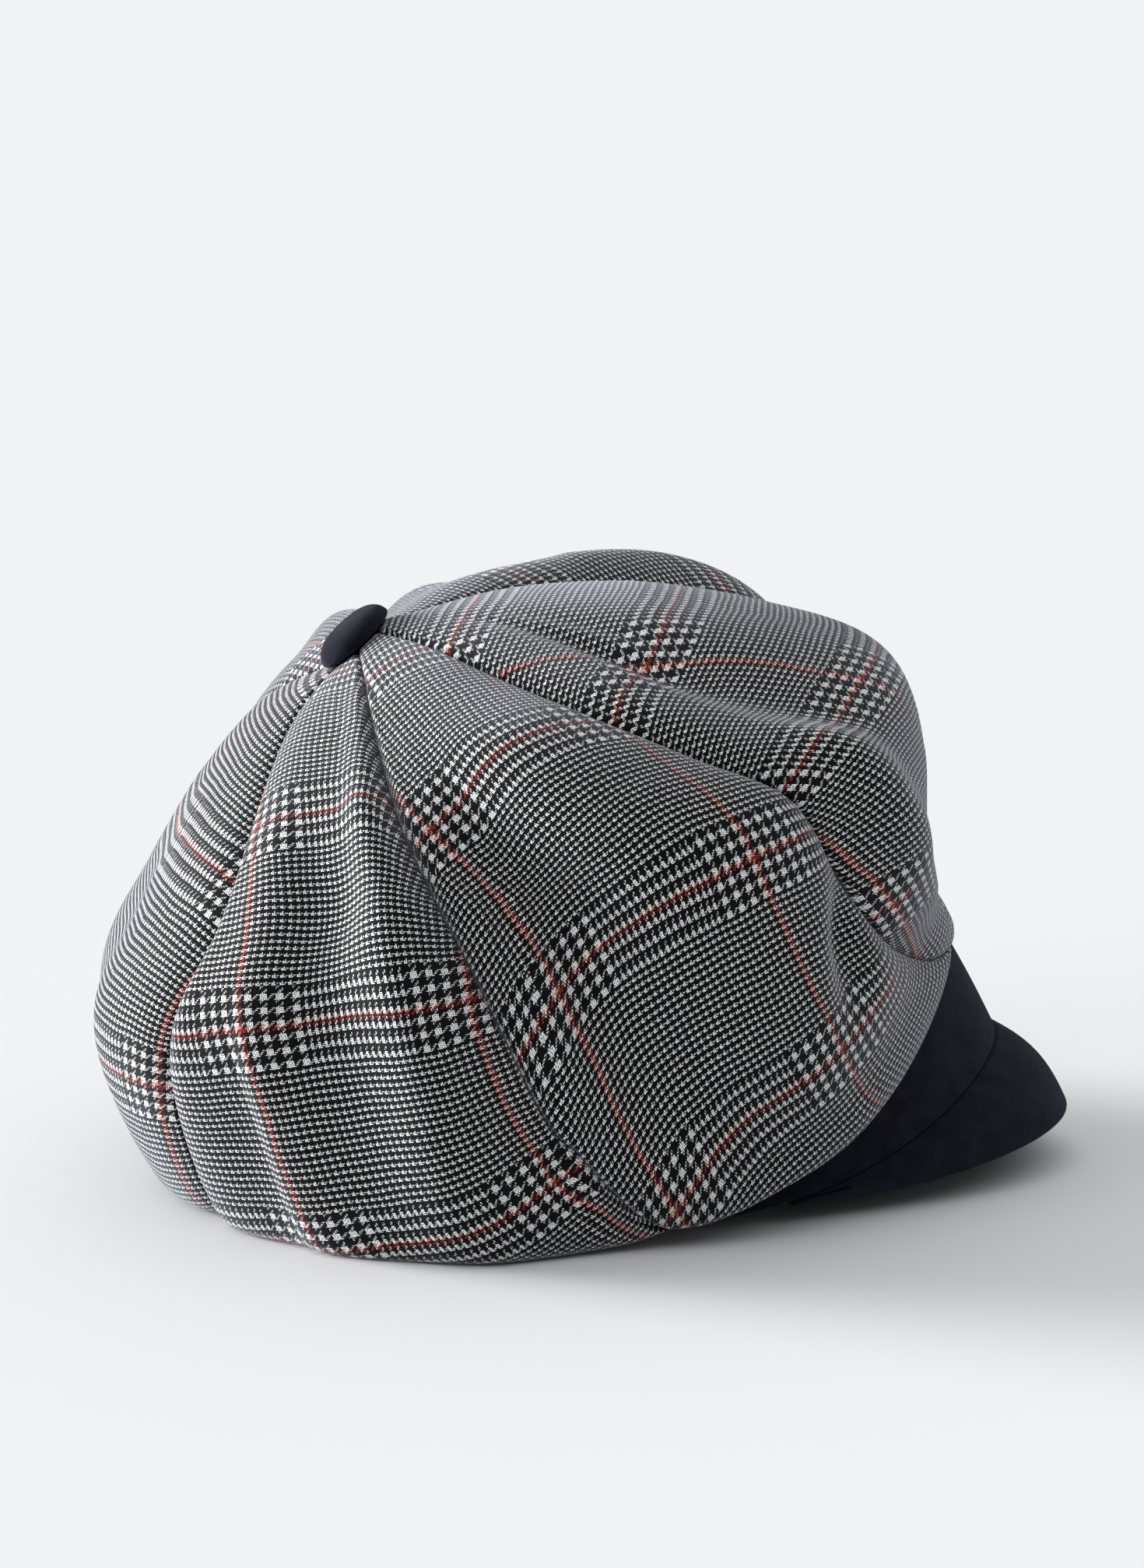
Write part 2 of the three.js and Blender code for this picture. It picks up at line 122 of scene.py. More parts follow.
# Long soft folds and dents, as in the solids.
# across, along: the middle, as shares of the panel. reach: half the length, near and far: the two
# half widths, as shares of the panel's length. turn: degrees. depth: share of FOLD_DEPTH, outwards.
FOLDS = table("panel across along reach near far turn depth", [
    (0, 0.84, 0.5, 0.3, 0.07, 0.05, -3, 0.6),
    (0, 0.55, 0.34, 0.2, 0.07, 0.06, 4, -0.35),
    (0, 0.3, 0.72, 0.16, 0.08, 0.08, 10, -0.35),
    (1, 0.2, 0.6, 0.26, 0.06, 0.1, 3, -0.7),
    (1, 0.3, 0.84, 0.1, 0.05, 0.07, -20, -0.4),
    (1, 0.5, 0.4, 0.2, 0.14, 0.14, 0, 0.3),
    (2, 0.16, 0.52, 0.2, 0.06, 0.05, 6, 0.7),
    (2, 0.34, 0.5, 0.2, 0.06, 0.1, 8, -0.9),
    (3, 0.25, 0.44, 0.2, 0.12, 0.12, 0, 1.3),
    (3, 0.5, 0.22, 0.12, 0.14, 0.12, 0, -0.3),
    (3, 0.85, 0.19, 0.09, 0.08, 0.12, 0, 0.7),
    (3, 0.55, 0.68, 0.2, 0.07, 0.1, 12, -0.6),
    (4, 0.2, 0.19, 0.1, 0.12, 0.12, 0, 1.1),
    (4, 0.5, 0.6, 0.22, 0.08, 0.08, -10, -0.5),
    (5, 0.45, 0.45, 0.2, 0.09, 0.07, 8, -0.4),
])

# Where the puff of a panel and its seams' grooves start and end, as shares of the way, how full
# the puff is, the groove's width, the panel's width as a share of its length, and how near to the
# seams the folds keep their depth
PUFF_START = 0.25
PUFF_END = 0.2
PUFF_FULLNESS = 2.4
SEAM_WIDTH = 0.1
PANEL_WIDTH_SHARE = 0.5
FOLD_FULLNESS = 6


def smooth_curve(stations, values, at):
    """Smooth curve through a short list of stations."""
    slopes = np.diff(values) / np.diff(stations)
    gaps = np.diff(stations)
    inner = (slopes[1:] * gaps[:-1] + slopes[:-1] * gaps[1:]) / (stations[2:] - stations[:-2])
    slope = np.concatenate([slopes[:1], inner, slopes[-1:]])
    i = np.clip(np.searchsorted(stations, at, side="left") - 1, 0, len(stations) - 2)
    step = gaps[i]
    s = (at - stations[i]) / step
    start = (1 + 2 * s) * (1 - s) ** 2 * values[i] + s * (1 - s) ** 2 * step * slope[i]
    end = s * s * (3 - 2 * s) * values[i + 1] + s * s * (s - 1) * step * slope[i + 1]
    return start + end


def lean(length, degrees):
    """How far something of this length goes sideways and up, leaning by some degrees."""
    return length * math.sin(math.radians(degrees)), length * math.cos(math.radians(degrees))


FRONT_SHIFT, FRONT_UP = lean(BAND_HEIGHT, BAND_FRONT_LEAN)
REAR_SHIFT, REAR_UP = lean(BAND_HEIGHT, BAND_REAR_LEAN)
BUTTON_AXIS = np.array([-math.sin(math.radians(BUTTON_LEAN)), 0, math.cos(math.radians(BUTTON_LEAN))])
BUTTON_FOOT = np.array([-BUTTON_BACK * CROWN_LENGTH, 0, BUTTON_RISE * CROWN_HEIGHT])
TOP_RADIUS = BUTTON_SEAT * BUTTON_DIAMETER / 2
BAND_LOWER = {
    "front_x": HEAD_FORWARD + HEAD_LENGTH / 2, "front_z": FRONT_RISE,
    "rear_x": HEAD_FORWARD - HEAD_LENGTH / 2, "rear_z": -REST_SINK,
    "half": HEAD_WIDTH / 2, "bend": BAND_BEND, "roll": 0.0, "square": 2.0,
}
BAND_UPPER = {
    **BAND_LOWER,
    "front_x": BAND_LOWER["front_x"] - FRONT_SHIFT, "front_z": BAND_LOWER["front_z"] + FRONT_UP,
    "rear_x": BAND_LOWER["rear_x"] - REAR_SHIFT, "rear_z": BAND_LOWER["rear_z"] + REAR_UP,
    "bend": BAND_UPPER_BEND,
}
TOP_RING = {
    "way": 0.0,
    "front_x": BUTTON_FOOT[0] + TOP_RADIUS * BUTTON_AXIS[2],
    "front_z": BUTTON_FOOT[2] - TOP_RADIUS * BUTTON_AXIS[0],
    "rear_x": BUTTON_FOOT[0] - TOP_RADIUS * BUTTON_AXIS[2],
    "rear_z": BUTTON_FOOT[2] + TOP_RADIUS * BUTTON_AXIS[0],
    "half": TOP_RADIUS, "bend": 1.0, "roll": 0.0, "square": 2.0,
}
HEM_RING = {
    **BAND_UPPER, "way": 1.0,
    "front_x": BAND_UPPER["front_x"] + HEM_GAP, "front_z": BAND_UPPER["front_z"] + HEM_GAP,
    "rear_x": BAND_UPPER["rear_x"] - HEM_GAP, "rear_z": BAND_UPPER["rear_z"] + HEM_GAP,
    "half": BAND_UPPER["half"] + HEM_GAP,
}
SHARE_OF = {
    "front_x": CROWN_LENGTH, "rear_x": CROWN_LENGTH, "front_z": CROWN_HEIGHT,
    "rear_z": CROWN_HEIGHT, "half": CROWN_WIDTH,
}
CROWN = {
    key: np.concatenate([[TOP_RING[key]], column * SHARE_OF.get(key, 1), [HEM_RING[key]]])
    for key, column in CROWN_RINGS.items()
}


def crown_ring(way):
    """The crown's ring at a share of the way from the button to the hem."""
    return {key: smooth_curve(CROWN["way"], CROWN[key], way) for key in CROWN if key != "way"}


def ring_point(ring, angle):
    """Points of a ring at angles from the front."""
    power = 2 / ring["square"]
    forward = np.sign(np.cos(angle)) * np.abs(np.cos(angle)) ** power
    sideways = np.sign(np.sin(angle)) * np.abs(np.sin(angle)) ** power
    x = (ring["front_x"] + ring["rear_x"]) / 2 + (ring["front_x"] - ring["rear_x"]) / 2 * forward
    y = ring["half"] * sideways
    rise = (ring["front_z"] - ring["rear_z"]) * ((1 + forward) / 2) ** ring["bend"]
    return np.stack([x, y, ring["rear_z"] + rise + ring["roll"] * y], -1)


def rested(points):
    """What would go below the surface is pressed flat on it, with a soft bend beside the flat."""
    z = points[..., 2]
    soft = (np.clip(z, -REST_SOFTNESS, REST_SOFTNESS) + REST_SOFTNESS) ** 2 / (4 * REST_SOFTNESS)
    out = points.copy()
    out[..., 2] = np.where(z > REST_SOFTNESS, z, soft)
    return out


def unit(vectors):
    """The same directions, one long."""
    return vectors / (np.linalg.norm(vectors, axis=-1, keepdims=True) + VERY_TINY)


# Steps that the crown's normals are measured over: a share of the way, and radians
STEP_ALONG = 0.001
STEP_ROUND = 0.005


def crown_normal(angle, way):
    """Directions square to the crown's plain surface, outwards."""
    up = ring_point(crown_ring(np.clip(way - STEP_ALONG, 0, 1)), angle)
    down = ring_point(crown_ring(np.clip(way + STEP_ALONG, 0, 1)), angle)
    ring = crown_ring(way)
    round_it = ring_point(ring, angle + STEP_ROUND) - ring_point(ring, angle - STEP_ROUND)
    return unit(np.cross(down - up, round_it))


def seam_angle(seam, way):
    """Angle of a seam in radians. The seam after the last one is the first, a turn further on."""
    turns, row = divmod(seam, len(SEAMS))
    return np.radians(smooth_curve(SEAM_STAGES, SEAMS[row], way) + 360 * turns)


def folds(rows, panel, across, way, scale):
    """Height of the folds in a table that lie on one panel."""
    height = np.zeros_like(across)
    for i in np.flatnonzero(rows["panel"] == panel):
        sideways = (across - rows["across"][i]) * PANEL_WIDTH_SHARE
        lengthways = way - rows["along"][i]
        turn = math.radians(rows["turn"][i])
        along = lengthways * math.cos(turn) + sideways * math.sin(turn)
        beside = sideways * math.cos(turn) - lengthways * math.sin(turn)
        width = np.where(beside < 0, rows["near"][i], rows["far"][i])
        shape = np.exp(-((along / rows["reach"][i]) ** 2) - (beside / width) ** 2)
        height = height + scale * rows["depth"][i] * shape
    return height


def lift(panel, across, way):
    """How far the cloth stands out from the plain rings, as in the solids."""
    fade = np.clip(way / PUFF_START, 0, 1) * np.clip((1 - way) / PUFF_END, 0, 1)
    from_middle = np.abs(2 * across - 1)
    height = PUFF * fade * (1 - from_middle ** PUFF_FULLNESS)
    height = height - SEAM_DEPTH * fade * np.exp(-(((1 - from_middle) / SEAM_WIDTH) ** 2))
    held = fade * (1 - from_middle ** FOLD_FULLNESS)
    return height + held * folds(FOLDS, panel, across, way, FOLD_DEPTH)


# Cloth of the looks, in millimetres: a thinner wall than the solid's 2 mm, what it keeps clear of
# the line between two panels, and its turn at a seam
CLOTH_THICKNESS = 1.6
CLOTH_CLEARANCE = 0.05
SEAM_ROUND = 2.2
SEAM_TUCK = 1.9

# Steps of a panel's grid and of the grid that lays it flat, in rounds that each pull a little
# further than needed. SEAM_CROWD says how much closer the panel's columns are at the seams,
# HEM_CROWD how much closer its rows are at the hem.
PANEL_ACROSS = 90
PANEL_ALONG = 230
FLAT_ACROSS = 24
FLAT_ALONG = 56
FLAT_ROUNDS = 300
FLAT_PULL = 1.2
SEAM_CROWD = 0.5
HEM_CROWD = 1.15

# Near the hem the wall's thickness turns level, from this share of the way
LEVEL_FROM = 0.93

# Small folds and creases of the cloth, as in the table of large ones. depth is in millimetres.
CREASES = table("panel across along reach near far turn depth", [
    (0, 0.95, 0.36, 0.28, 0.03, 0.02, -1, 3.0),
    (0, 0.88, 0.36, 0.2, 0.04, 0.04, 0, 3.0),
    (0, 0.72, 0.34, 0.2, 0.08, 0.06, 0, -4.5),
    (0, 0.66, 0.58, 0.2, 0.1, 0.07, 0, -5.5),
    (0, 0.87, 0.62, 0.16, 0.05, 0.05, -2, 6.0),
    (0, 0.36, 0.64, 0.16, 0.06, 0.02, 6, -3.5),
    (0, 0.12, 0.45, 0.2, 0.03, 0.03, 0, 1.5),
    (1, 0.05, 0.45, 0.3, 0.03, 0.02, 0, 3.5),
    (1, 0.2, 0.4, 0.16, 0.03, 0.07, -6, -6.0),
    (1, 0.14, 0.64, 0.15, 0.04, 0.09, -4, -7.5),
    (1, 0.3, 0.62, 0.2, 0.07, 0.1, -6, 2.0),
    (1, 0.84, 0.7, 0.09, 0.03, 0.04, -46, -8.0),
    (2, 0.14, 0.42, 0.16, 0.04, 0.08, -4, -6.0),
    (2, 0.3, 0.24, 0.1, 0.03, 0.06, -14, -6.0),
    (2, 0.36, 0.22, 0.08, 0.015, 0.015, -12, 1.5),
    (3, 0.3, 0.3, 0.3, 0.08, 0.1, 0, 2.0),
])

# The creases fade in and out over these shares of the way, at the button and at the hem
CREASE_START = 0.08
CREASE_END = 0.04

# How the check lies on each cut panel. Two red lines cross at home_x, home_y millimetres across
# and along from the middle of the panel's top edge. The other columns say how many millimetres of
# check go with each millimetre across (x) and along (y) the panel, for its warp and its weft, and
# bow how many more the weft gains at BOW_SPAN to the side.
BOW_SPAN = 100.0
PATTERN = table("home_x home_y warp_x warp_y weft_x weft_y bow", [
    (-17.7, 74.3, 0.967, -0.096, -0.039, 1.032, 0.0),
    (-36.2, 96.8, 1.023, 0.156, 0.272, 1.005, -39.0),
    (-25.4, 85.3, 0.764, -0.248, -0.123, 1.144, 0.0),
    (0, 60, 1.0, 0.0, 0.0, 1.0, 0.0),
    (0, 90, 1.0, 0.0, 0.0, 1.0, 0.0),
    (0, 70, 1.0, 0.0, 0.0, 1.0, 0.0),
])


def laid_check(flat, panel):
    """Places on the woven check, in millimetres, for places on the cut panel."""
    row = {key: column[panel] for key, column in PATTERN.items()}
    x = flat[..., 0] - row["home_x"]
    y = flat[..., 1] - row["home_y"]
    warp = x * row["warp_x"] + y * row["warp_y"]
    weft = x * row["weft_x"] + y * row["weft_y"] + row["bow"] * (x / BOW_SPAN) ** 2
    return np.stack([warp, weft], -1)


def relaxed_flat(grid, rounds):
    """The cut panel laid flat in millimetres: neighbouring points keep their distances."""
    rows, columns, _ = grid.shape
    middle = columns // 2
    steps_down = np.linalg.norm(np.diff(grid[:, middle], axis=0), axis=-1)
    y = np.concatenate([[0], np.cumsum(steps_down)])[:, None] + np.zeros((1, columns))
    steps = np.linalg.norm(np.diff(grid, axis=1), axis=-1)
    x = np.concatenate([np.zeros((rows, 1)), np.cumsum(steps, axis=1)], axis=1)
    flat = np.stack([x - x[:, middle:middle + 1], y], -1)
    links = []
    for down, right in ((0, 1), (1, 0), (1, 1), (1, -1)):
        first = (slice(0, rows - down), slice(max(0, -right), columns - max(0, right)))
        second = (slice(down, rows), slice(max(0, right), columns - max(0, -right)))
        links.append((first, second, np.linalg.norm(grid[second] - grid[first], axis=-1)))
    for _ in range(rounds):
        move = np.zeros_like(flat)
        count = np.zeros((rows, columns, 1))
        for first, second, rest in links:
            apart = flat[second] - flat[first]
            length = np.linalg.norm(apart, axis=-1) + TINY
            pull = apart * ((length - rest) / length)[..., None] / 2
            move[first] += pull
            move[second] -= pull
            count[first] += 1
            count[second] += 1
        flat = flat + FLAT_PULL * move / count
        flat[:, middle, 0] = 0
    return flat


def resampled(values, rows, columns):
    """A grid of values read off at shares of its rows and columns."""
    last_row, last_column = values.shape[0] - 1, values.shape[1] - 1
    row = np.clip(rows * last_row, 0, last_row - TINY)
    column = np.clip(columns * last_column, 0, last_column - TINY)
    i, j = row.astype(int), column.astype(int)
    below, beside = (row - i)[..., None], (column - j)[..., None]
    top = values[i, j] * (1 - beside) + values[i, j + 1] * beside
    low = values[i + 1, j] * (1 - beside) + values[i + 1, j + 1] * beside
    return top * (1 - below) + low * below


def grid_normals(grid, closed=False):
    """Normals of a grid of points whose rows run down and columns round."""
    down = np.gradient(grid, axis=0)
    if closed:
        around = (np.roll(grid, -1, axis=1) - np.roll(grid, 1, axis=1)) / 2
    else:
        around = np.gradient(grid, axis=1)
    return unit(np.cross(down, around))


def panel_surface(panel, across, way, detail, tuck=0.0):
    """Points of a panel's face; tuck takes its edges inwards, in a quarter round at both seams."""
    start = seam_angle(panel, way)
    angle = start + (seam_angle(panel + 1, way) - start) * across
    height = lift(panel, across, way)
    if detail:
        height = height + detail_height(panel, across, way)
    points = ring_point(crown_ring(way), angle)
    normals = crown_normal(angle, way)
    if tuck:
        height = height - tuck * seam_drop(points)
    return rested(points + normals * height[..., None])


def seam_drop(points):
    """Share of the tuck that points take: all of it at a seam, none past SEAM_ROUND."""
    width = np.linalg.norm(np.diff(points, axis=1), axis=-1)
    from_left = np.concatenate([np.zeros((len(points), 1)), np.cumsum(width, axis=1)], axis=1)
    from_edge = np.minimum(from_left, from_left[:, -1:] - from_left)
    within = np.clip(1 - from_edge / SEAM_ROUND, 0, 1)
    return 1 - np.sqrt(1 - within ** 2)


def detail_height(panel, across, way):
    """Height of the small folds and creases of one panel."""
    fade = np.clip(way / CREASE_START, 0, 1) * np.clip((1 - way) / CREASE_END, 0, 1)
    return fade * folds(CREASES, panel, across, way, 1)


# Steps of the felt pieces' grids
BAND_ROUND_STEPS = 360
BAND_STEPS_UP = 25
PEAK_STEPS_ROUND = 220
PEAK_STEPS_OUT = 60
EDGE_STEPS = 8
BUTTON_SIDES = 120
BUTTON_STEPS = 36

# Felt edges, in millimetres: how far the band's edges round out, and the least half thickness
# and least height of the peak's edges
BAND_EDGE_ROLL = 0.6
PEAK_EDGE_LEAST = 0.1
PEAK_LEAST = 0.05

# The button: rows of its underside as shares of its radius and heights in millimetres, the
# height where its dome starts, and how full the dome is (less is fuller)
BUTTON_UNDERSIDE = ((0.0, 0.0), (0.558, 0.0), (0.93, 0.15), (0.985, 0.7))
BUTTON_DOME_FROM = 0.9
BUTTON_FULLNESS = 0.62

# Waves of the band: how many go round, where the first starts in radians, and millimetres
BAND_WAVES = table("count start size", [
    (3, 0.5, 0.5),
    (7, 1.9, 0.25),
    (13, 4.0, 0.12),
])


def ring_between(lower, upper, share):
    """The ring at a share of the way from one ring to another."""
    return {key: lower[key] + (upper[key] - lower[key]) * share for key in BAND_LOWER}


def ripple(angle, rows):
    """A soft waviness round the cap: a sum of a few waves."""
    waves = zip(rows["count"], rows["start"], rows["size"])
    return sum(size * np.sin(count * angle + start) for count, start, size in waves)


# The peak's inner and outer outlines, as rings like the band's
PEAK_ROOT = {
    **BAND_LOWER,
    "front_x": BAND_LOWER["front_x"] + PEAK_GAP, "front_z": BAND_LOWER["front_z"] - PEAK_GAP,
    "rear_x": BAND_LOWER["rear_x"] - PEAK_GAP, "rear_z": BAND_LOWER["rear_z"] - PEAK_GAP,
    "half": BAND_LOWER["half"] + PEAK_GAP,
}
PEAK_EDGE = {
    **BAND_LOWER,
    "front_x": BAND_LOWER["front_x"] + PEAK_REACH, "front_z": PEAK_TIP_HEIGHT,
    "rear_z": -PEAK_THICKNESS, "half": PEAK_EDGE_WIDTH / 2, "bend": PEAK_EDGE_BEND,
}

# The peak's root runs on as a thin tongue, under the band's edge and up behind it: rows of how
# far inwards and up from the root's middle, in millimetres, innermost first. Then the tongue's
# half thickness, and over how far the peak thickens from it.
PEAK_TONGUE = ((3.15, 3.4), (3.2, 2.2), (2.7, 0.8), (1.3, 0.15))
PEAK_TONGUE_HALF = 0.35
PEAK_ROOT_ROUND = 0.9


def peak_point(round_it, share):
    """Points of the peak's upper face: from -1 to 1 round it, and from 0 at its root to 1."""
    angle = round_it * math.radians(PEAK_HALF_ANGLE)
    length = 1 - (1 - PEAK_END_SHARE) * np.abs(round_it) ** PEAK_TAPER
    root = ring_point(PEAK_ROOT, angle)
    edge = ring_point(PEAK_EDGE, angle)
    bulge = PEAK_BULGE * np.sin(math.pi * share) * length
    out = np.stack([np.cos(angle), np.sin(angle), np.cos(angle)], -1)
    return root + (edge - root) * (share * length)[..., None] + out * bulge[..., None]


# Where the cap's own frame lies in the record's frame
band_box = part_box("head_band")
SHIFT = np.array([
    band_box[1].x / MM - BAND_LOWER["front_x"],
    (band_box[0].y + band_box[1].y) / 2 / MM,
    0,
])


def wall_mesh(name, outer, inner, uv=None):
    """A closed wall between a grid of outer points and a grid of inner ones."""
    rows, columns, _ = outer.shape
    points = np.concatenate([outer.reshape(-1, 3), inner.reshape(-1, 3)])
    index = np.arange(rows * columns).reshape(rows, columns)
    other = index + rows * columns
    quads = [
        np.stack([index[:-1, :-1], index[1:, :-1], index[1:, 1:], index[:-1, 1:]], -1),
        np.stack([other[:-1, :-1], other[:-1, 1:], other[1:, 1:], other[1:, :-1]], -1),
        np.stack([index[0, :-1], index[0, 1:], other[0, 1:], other[0, :-1]], -1),
        np.stack([index[-1, :-1], other[-1, :-1], other[-1, 1:], index[-1, 1:]], -1),
        np.stack([index[:-1, 0], other[:-1, 0], other[1:, 0], index[1:, 0]], -1),
        np.stack([index[:-1, -1], index[1:, -1], other[1:, -1], other[:-1, -1]], -1),
    ]
    faces = np.concatenate([quad.reshape(-1, 4) for quad in quads])
    piece = smooth_object(name, points, faces.tolist())
    if uv is not None:
        both = np.concatenate([uv.reshape(-1, 2), uv.reshape(-1, 2)])
        layer = piece.data.uv_layers.new(name="cut")
        layer.data.foreach_set("uv", both[faces.ravel()].ravel())
    return piece


def crown_panel(panel):
    """One sewn wedge of cloth: its folded outer face, its inner face, and its lay on the check."""
    share = np.linspace(0, 1, PANEL_ACROSS + 1)
    crowded = (1 - SEAM_CROWD) * share + SEAM_CROWD * (1 - np.cos(math.pi * share)) / 2
    way = (1 - (1 - np.linspace(0, 1, PANEL_ALONG + 1)) ** HEM_CROWD)[:, None] + 0 * share
    across = crowded[None, :] + 0 * way
    plain = panel_surface(panel, across, way, True)
    width = np.linalg.norm(plain[:, :1] - plain[:, -1:], axis=-1)
    margin = CLOTH_CLEARANCE / np.maximum(width, 1)
    across = margin + across * (1 - 2 * margin)
    outer = panel_surface(panel, across, way, True, SEAM_TUCK)
    start = seam_angle(panel, way)
    normals = crown_normal(start + (seam_angle(panel + 1, way) - start) * across, way)
    level = np.clip((way - LEVEL_FROM) / (1 - LEVEL_FROM), 0, 1)
    normals = normals * np.stack([np.ones_like(level), np.ones_like(level), 1 - level], -1)
    inner = outer - unit(normals) * CLOTH_THICKNESS
    inner[..., 2] = np.maximum(inner[..., 2], 0)
    flat_way = np.linspace(0, 1, FLAT_ALONG + 1)[:, None] + np.zeros(FLAT_ACROSS + 1)
    flat_across = np.linspace(0, 1, FLAT_ACROSS + 1)[None, :] + 0 * flat_way
    flat = relaxed_flat(panel_surface(panel, flat_across, flat_way, False), FLAT_ROUNDS)
    cut = laid_check(resampled(flat, way, across), panel)
    return wall_mesh(f"crown_cloth_{panel + 1}", outer, inner, cut)


def head_band():
    """Felt ring with a rolled lower edge: one closed section swept round."""
    angle = np.linspace(0, 2 * math.pi, BAND_ROUND_STEPS, endpoint=False)
    shares = np.linspace(0, 1, BAND_STEPS_UP + 1)
    rings = [ring_point(ring_between(BAND_LOWER, BAND_UPPER, share), angle) for share in shares]
    face = np.stack(rings)
    normals = grid_normals(face[::-1], True)[::-1]
    normals[..., 2] = 0
    normals = unit(normals)
    up = unit(face[-1] - face[0])
    held = np.sin(math.pi * shares)[:, None, None]
    face = face + normals * ripple(angle, BAND_WAVES)[None, :, None] * held
    half = BAND_THICKNESS / 2
    turn = np.linspace(0, math.pi, EDGE_STEPS + 1)[1:-1]
    inner = face - normals * BAND_THICKNESS
    roll = BAND_EDGE_ROLL
    top = [face[-1] - normals[-1] * half * (1 - math.cos(t)) + up * (roll * math.sin(t)) for t in turn]
    low = [inner[0] + normals[0] * half * (1 - math.cos(t)) - up * (roll * math.sin(t)) for t in turn]
    loop = np.concatenate([face, top, inner[::-1], low])
    loop[..., 2] = np.maximum(loop[..., 2], 0)
    return loop_mesh("head_band_felt", loop)


def loop_mesh(name, loop):
    """A closed section (first axis) swept round a closed ring (second axis)."""
    rows, columns, _ = loop.shape
    index = np.arange(rows * columns).reshape(rows, columns)
    index = np.concatenate([index, index[:1]], axis=0)
    index = np.concatenate([index, index[:, :1]], axis=1)
    faces = np.stack([index[:-1, :-1], index[:-1, 1:], index[1:, 1:], index[1:, :-1]], -1)
    return smooth_object(name, loop.reshape(-1, 3), faces.reshape(-1, 4).tolist())


def smooth_object(name, points, faces):
    """A smooth object at the origin, from points in the cap's own frame."""
    mesh = bpy.data.meshes.new(name)
    mesh.from_pydata(((points + SHIFT) * MM).tolist(), [], faces)
    mesh.polygons.foreach_set("use_smooth", [True] * len(mesh.polygons))
    mesh.update()
    piece = bpy.data.objects.new(name, mesh)
    bpy.context.scene.collection.objects.link(piece)
    return piece


def peak():
    """The felt peak: its top and bottom faces, with a rounded edge all round."""
    round_it = np.linspace(-1, 1, PEAK_STEPS_ROUND + 1)[None, :] + np.zeros((PEAK_STEPS_OUT + 1, 1))
    share = np.linspace(0, 1, PEAK_STEPS_OUT + 1)[:, None] + 0 * round_it
    outer = peak_point(round_it, share)
    normals = grid_normals(outer)
    normals[..., 2] = np.maximum(normals[..., 2], 0)
    normals = unit(normals)
    middle = outer - normals * PEAK_THICKNESS / 2
    from_root = np.linalg.norm(outer - outer[:1], axis=-1) / PEAK_ROOT_ROUND
    from_tip = np.linalg.norm(outer - outer[-1:], axis=-1)
    from_near = np.linalg.norm(outer - outer[:, :1], axis=-1)
    from_far = np.linalg.norm(outer - outer[:, -1:], axis=-1)
    from_side = np.minimum(from_near, from_far)
    from_edge = np.minimum(from_tip, from_side) / (PEAK_THICKNESS / 2)
    near = np.clip(np.minimum(from_root, from_edge), 0, 1)
    half = PEAK_THICKNESS / 2 * np.sqrt(1 - (1 - near) ** 2)
    thin = PEAK_TONGUE_HALF * np.sqrt(1 - (1 - np.clip(from_edge, 0, 1)) ** 2)
    half = np.maximum(half, np.maximum(thin, PEAK_EDGE_LEAST))
    inwards = unit(-normals[0] * np.array([1, 1, 0]))
    tongue = [middle[0] + inwards * far + np.array([0, 0, high]) for far, high in PEAK_TONGUE]
    middle = np.concatenate([tongue, middle])
    half = np.concatenate([half[:1]] * len(PEAK_TONGUE) + [half])[..., None]
    normals = grid_normals(middle)
    top = middle + normals * half
    bottom = middle - normals * half
    for face in (top, bottom):
        face[..., 2] = np.maximum(face[..., 2], 0)
    bottom[..., 2] = np.minimum(bottom[..., 2], np.maximum(top[..., 2] - PEAK_LEAST, 0))
    return wall_mesh("peak_felt", top, bottom)


def button():
    """A low felt dome with a rounded rim, standing off the cloth by its gap."""
    radius = BUTTON_DIAMETER / 2
    dome = BUTTON_HEIGHT - BUTTON_DOME_FROM
    profile = [(radius * share, height) for share, height in BUTTON_UNDERSIDE]
    for turn in np.linspace(0, math.pi / 2, BUTTON_STEPS)[:-1]:
        out = radius * math.cos(turn) ** BUTTON_FULLNESS
        profile.append((out, BUTTON_DOME_FROM + dome * math.sin(turn)))
    profile.append((0.0, BUTTON_HEIGHT))
    sides = BUTTON_SIDES
    angle = np.linspace(0, 2 * math.pi, sides, endpoint=False)
    side = np.array([0.0, 1.0, 0.0])
    front = np.cross(side, BUTTON_AXIS)
    spokes = np.cos(angle)[:, None] * front + np.sin(angle)[:, None] * side
    points, faces = [], []
    centre = BUTTON_FOOT + BUTTON_AXIS * BUTTON_GAP
    points.append(centre + BUTTON_AXIS * profile[0][1])
    for out, height in profile[1:-1]:
        points.extend(centre + BUTTON_AXIS * height + out * spokes)
    points.append(centre + BUTTON_AXIS * profile[-1][1])
    rings = len(profile) - 2
    for j in range(sides):
        k = (j + 1) % sides
        faces.append((0, 1 + k, 1 + j))
        for i in range(rings - 1):
            a, b = 1 + i * sides, 1 + (i + 1) * sides
            faces.append((a + j, a + k, b + k, b + j))
        last = 1 + (rings - 1) * sides
        faces.append((last + j, last + k, len(points) - 1))
    return smooth_object("button_felt", np.array(points), faces)


# Materials
def linear(code):
    """Linear colour from an sRGB hex value such as 2A2725."""
    channels = [int(code[i:i + 2], 16) / 255 for i in (0, 2, 4)]
    return (*[c / 12.92 if c <= 0.04045 else ((c + 0.055) / 1.055) ** 2.4 for c in channels], 1)


def add(tree, kind, inputs=None, **settings):
    """Adds a node with its settings; a value that is a socket is linked. Returns its outputs."""
    made = tree.nodes.new(kind)
    for name, value in settings.items():
        setattr(made, name, value)
    for key, value in (inputs or {}).items():
        if isinstance(value, bpy.types.NodeSocket):
            tree.links.new(value, made.inputs[key])
        else:
            made.inputs[key].default_value = value
    return made.outputs


